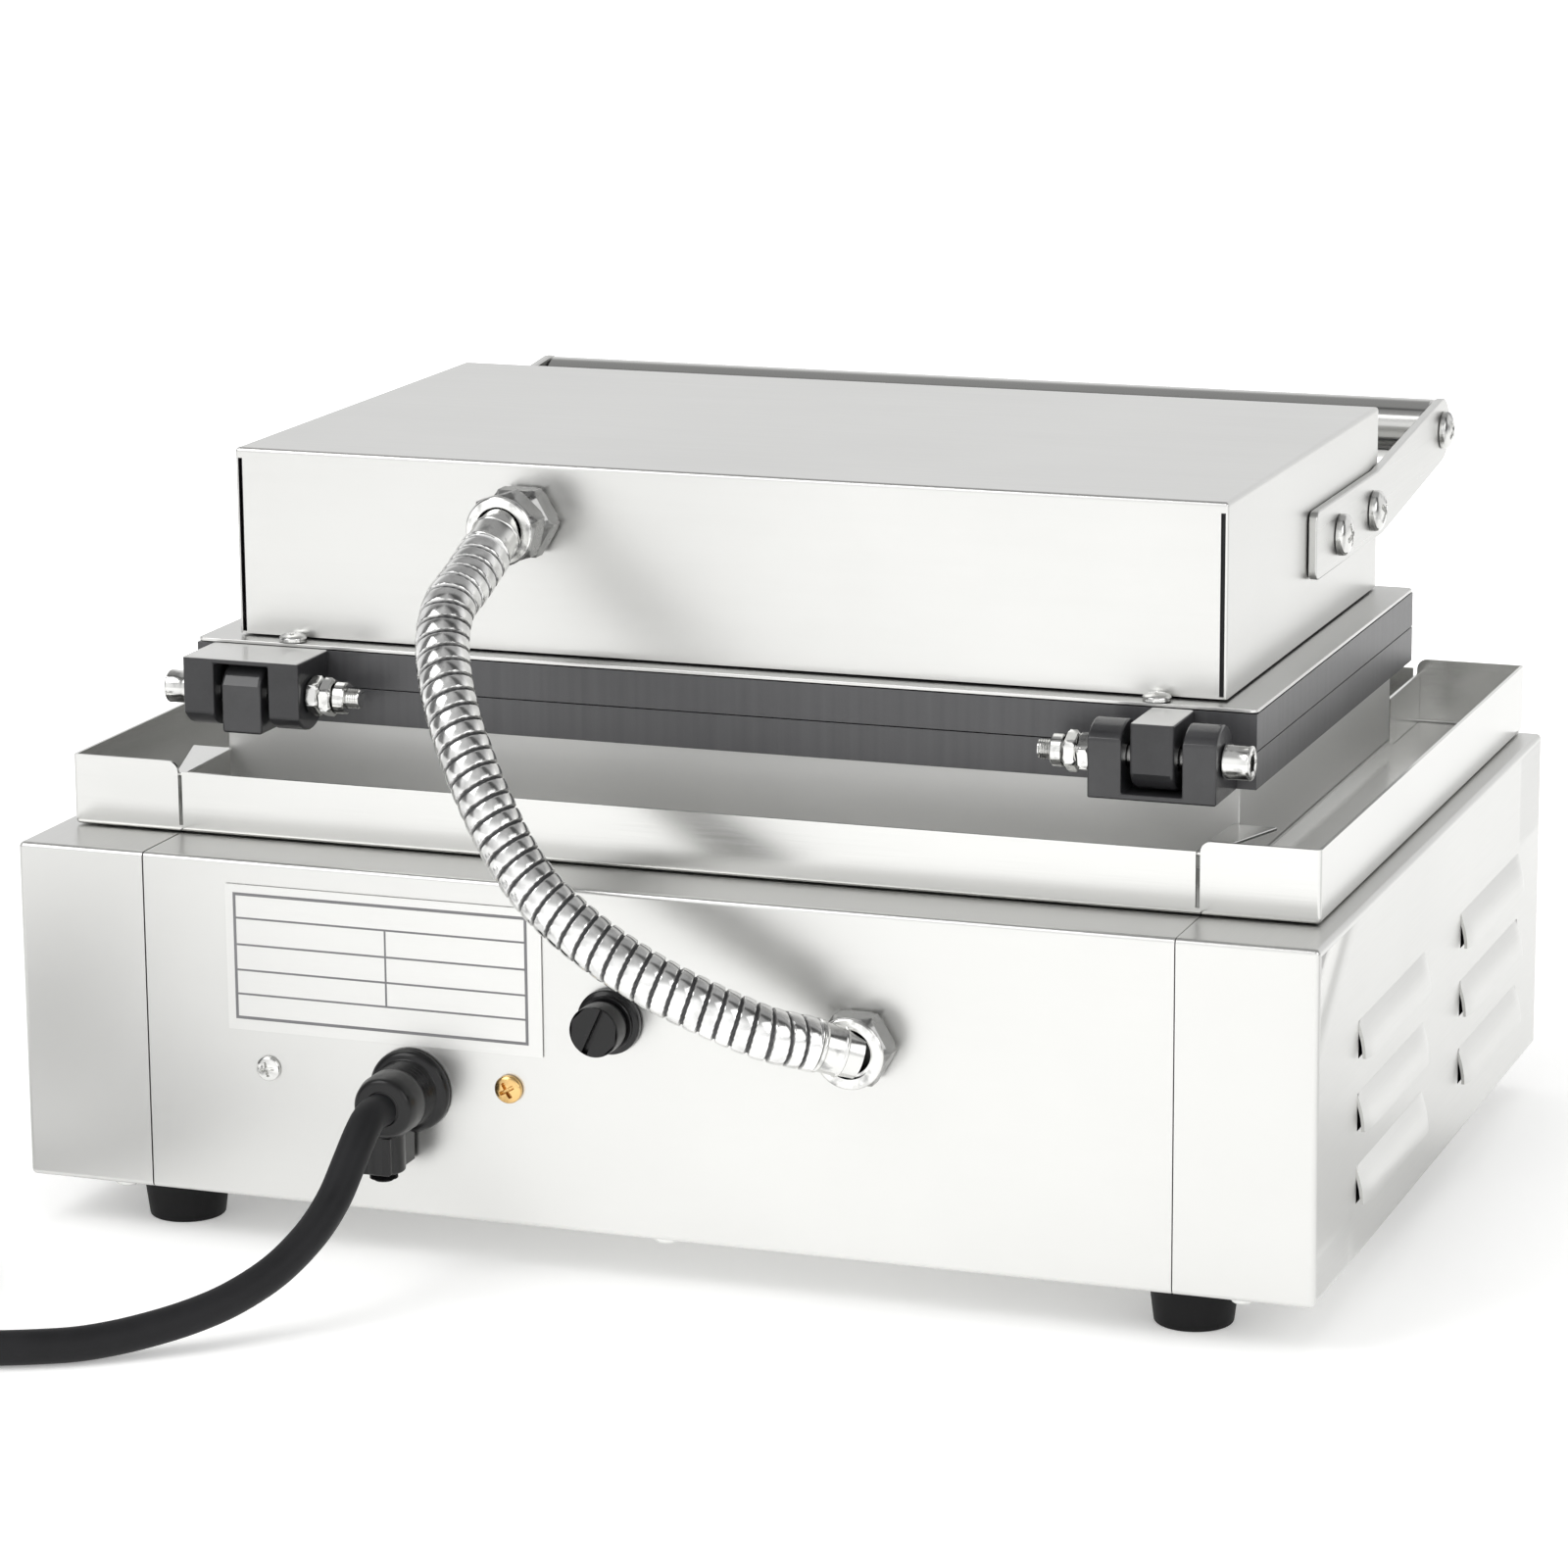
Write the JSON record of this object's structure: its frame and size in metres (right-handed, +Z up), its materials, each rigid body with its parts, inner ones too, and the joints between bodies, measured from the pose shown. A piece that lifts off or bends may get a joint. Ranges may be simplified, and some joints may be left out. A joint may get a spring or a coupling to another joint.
{
  "type": "corn dog waffle maker",
  "caption": "Countertop press with paired waffle plates for sticks: sheet steel base with drip tray, hinged lid with handle, ribbed conduit and cord.",
  "frame": {"origin": "on the table, under the middle of the machine's box measured without the cord", "axes": "+X to the operator's right, +Y to the rear with the hinges and the cord, +Z up"},
  "size_m": [0.5058, 0.5227, 0.2182],
  "materials": {
    "stainless": "satin stainless steel sheet, folded",
    "bright_steel": "bright plated or stainless steel",
    "black_casting": "black cast iron, satin",
    "coated_plate": "cast aluminium with a dark non-stick coat",
    "black_plastic": "black moulded plastic",
    "black_rubber": "black rubber",
    "brass": "brass, bright",
    "label_foil": "pale printed foil, left without words",
    "red_lens": "red translucent lens",
    "green_lens": "green translucent lens",
    "white_ceramic": "white glazed ceramic"
  },
  "bodies": {
    "base": {"right_side_panel": "stainless", "left_side_panel": "stainless", "rear_panel": "stainless", "front_panel": "stainless", "deck_plate": "stainless", "base_plate": "stainless", "drip_tray": "stainless", "heater_housing": "stainless", "lower_heat_shield": "stainless", "lower_heater": "bright_steel", "right_hinge_bolt": "bright_steel", "left_hinge_bolt": "bright_steel", "right_hinge_nut": "bright_steel", "left_hinge_nut": "bright_steel", "conduit_lower_fitting": "bright_steel", "power_conduit": "bright_steel", "gland_clamp_screw": "bright_steel", "right_hinge_tongue": "black_casting", "left_hinge_clevis": "black_casting", "lower_waffle_plate": "coated_plate", "cord_gland": "black_plastic", "fuse_holder": "black_plastic", "thermostat_body": "black_plastic", "timer_body": "black_plastic", "switch_bezel": "black_plastic", "rear_right_foot": "black_rubber", "front_right_foot": "black_rubber", "rear_left_foot": "black_rubber", "front_left_foot": "black_rubber", "cord_lead": "black_rubber", "cord_coil": "black_rubber", "power_plug": "black_rubber", "earth_screw": "brass", "rating_label": "label_foil", "power_lamp": "red_lens", "heating_lamp": "green_lens", "terminal_block": "white_ceramic"},
    "lid": {"lid_cover": "stainless", "lid_flange": "stainless", "upper_waffle_plate": "coated_plate", "upper_heater": "bright_steel", "upper_heat_shield": "stainless", "right_handle_arm": "stainless", "left_handle_arm": "stainless", "handle_tube": "stainless", "right_rear_arm_screw": "bright_steel", "right_front_arm_screw": "bright_steel", "right_handle_screw": "bright_steel", "left_rear_arm_screw": "bright_steel", "left_front_arm_screw": "bright_steel", "left_handle_screw": "bright_steel", "right_flange_screw": "bright_steel", "left_flange_screw": "bright_steel", "right_hinge_clevis": "black_casting", "left_hinge_tongue": "black_casting", "conduit_upper_fitting": "bright_steel"},
    "fuse_cap": {"fuse_cap": "black_plastic"},
    "thermostat_knob": {"thermostat_knob": "black_plastic"},
    "timer_knob": {"timer_knob": "black_plastic"},
    "power_switch": {"power_switch": "black_plastic"}
  },
  "joints": [
    {"name": "lid_hinge", "type": "hinge", "parent": "base", "child": "lid", "pos_m": [0, 0.095, 0.1515], "axis": [-1, 0, 0], "range_deg": [0, 90], "deforming": ["power_conduit"]},
    {"name": "fuse_cap_turn", "type": "hinge", "parent": "base", "child": "fuse_cap", "pos_m": [0.0093, 0.1411, 0.076], "axis": [0, 1, 0], "range_deg": [0, 90]},
    {"name": "thermostat_turn", "type": "hinge", "parent": "base", "child": "thermostat_knob", "pos_m": [-0.03002, -0.1368, 0.062], "axis": [0, 1, 0], "range_deg": [0, 300]},
    {"name": "timer_turn", "type": "hinge", "parent": "base", "child": "timer_knob", "pos_m": [-0.09994, -0.1368, 0.062], "axis": [0, 1, 0], "range_deg": [0, 330]},
    {"name": "power_rocker", "type": "hinge", "parent": "base", "child": "power_switch", "pos_m": [0.11001, -0.132, 0.062], "axis": [1, 0, 0], "range_deg": [-20, 0]}
  ]
}
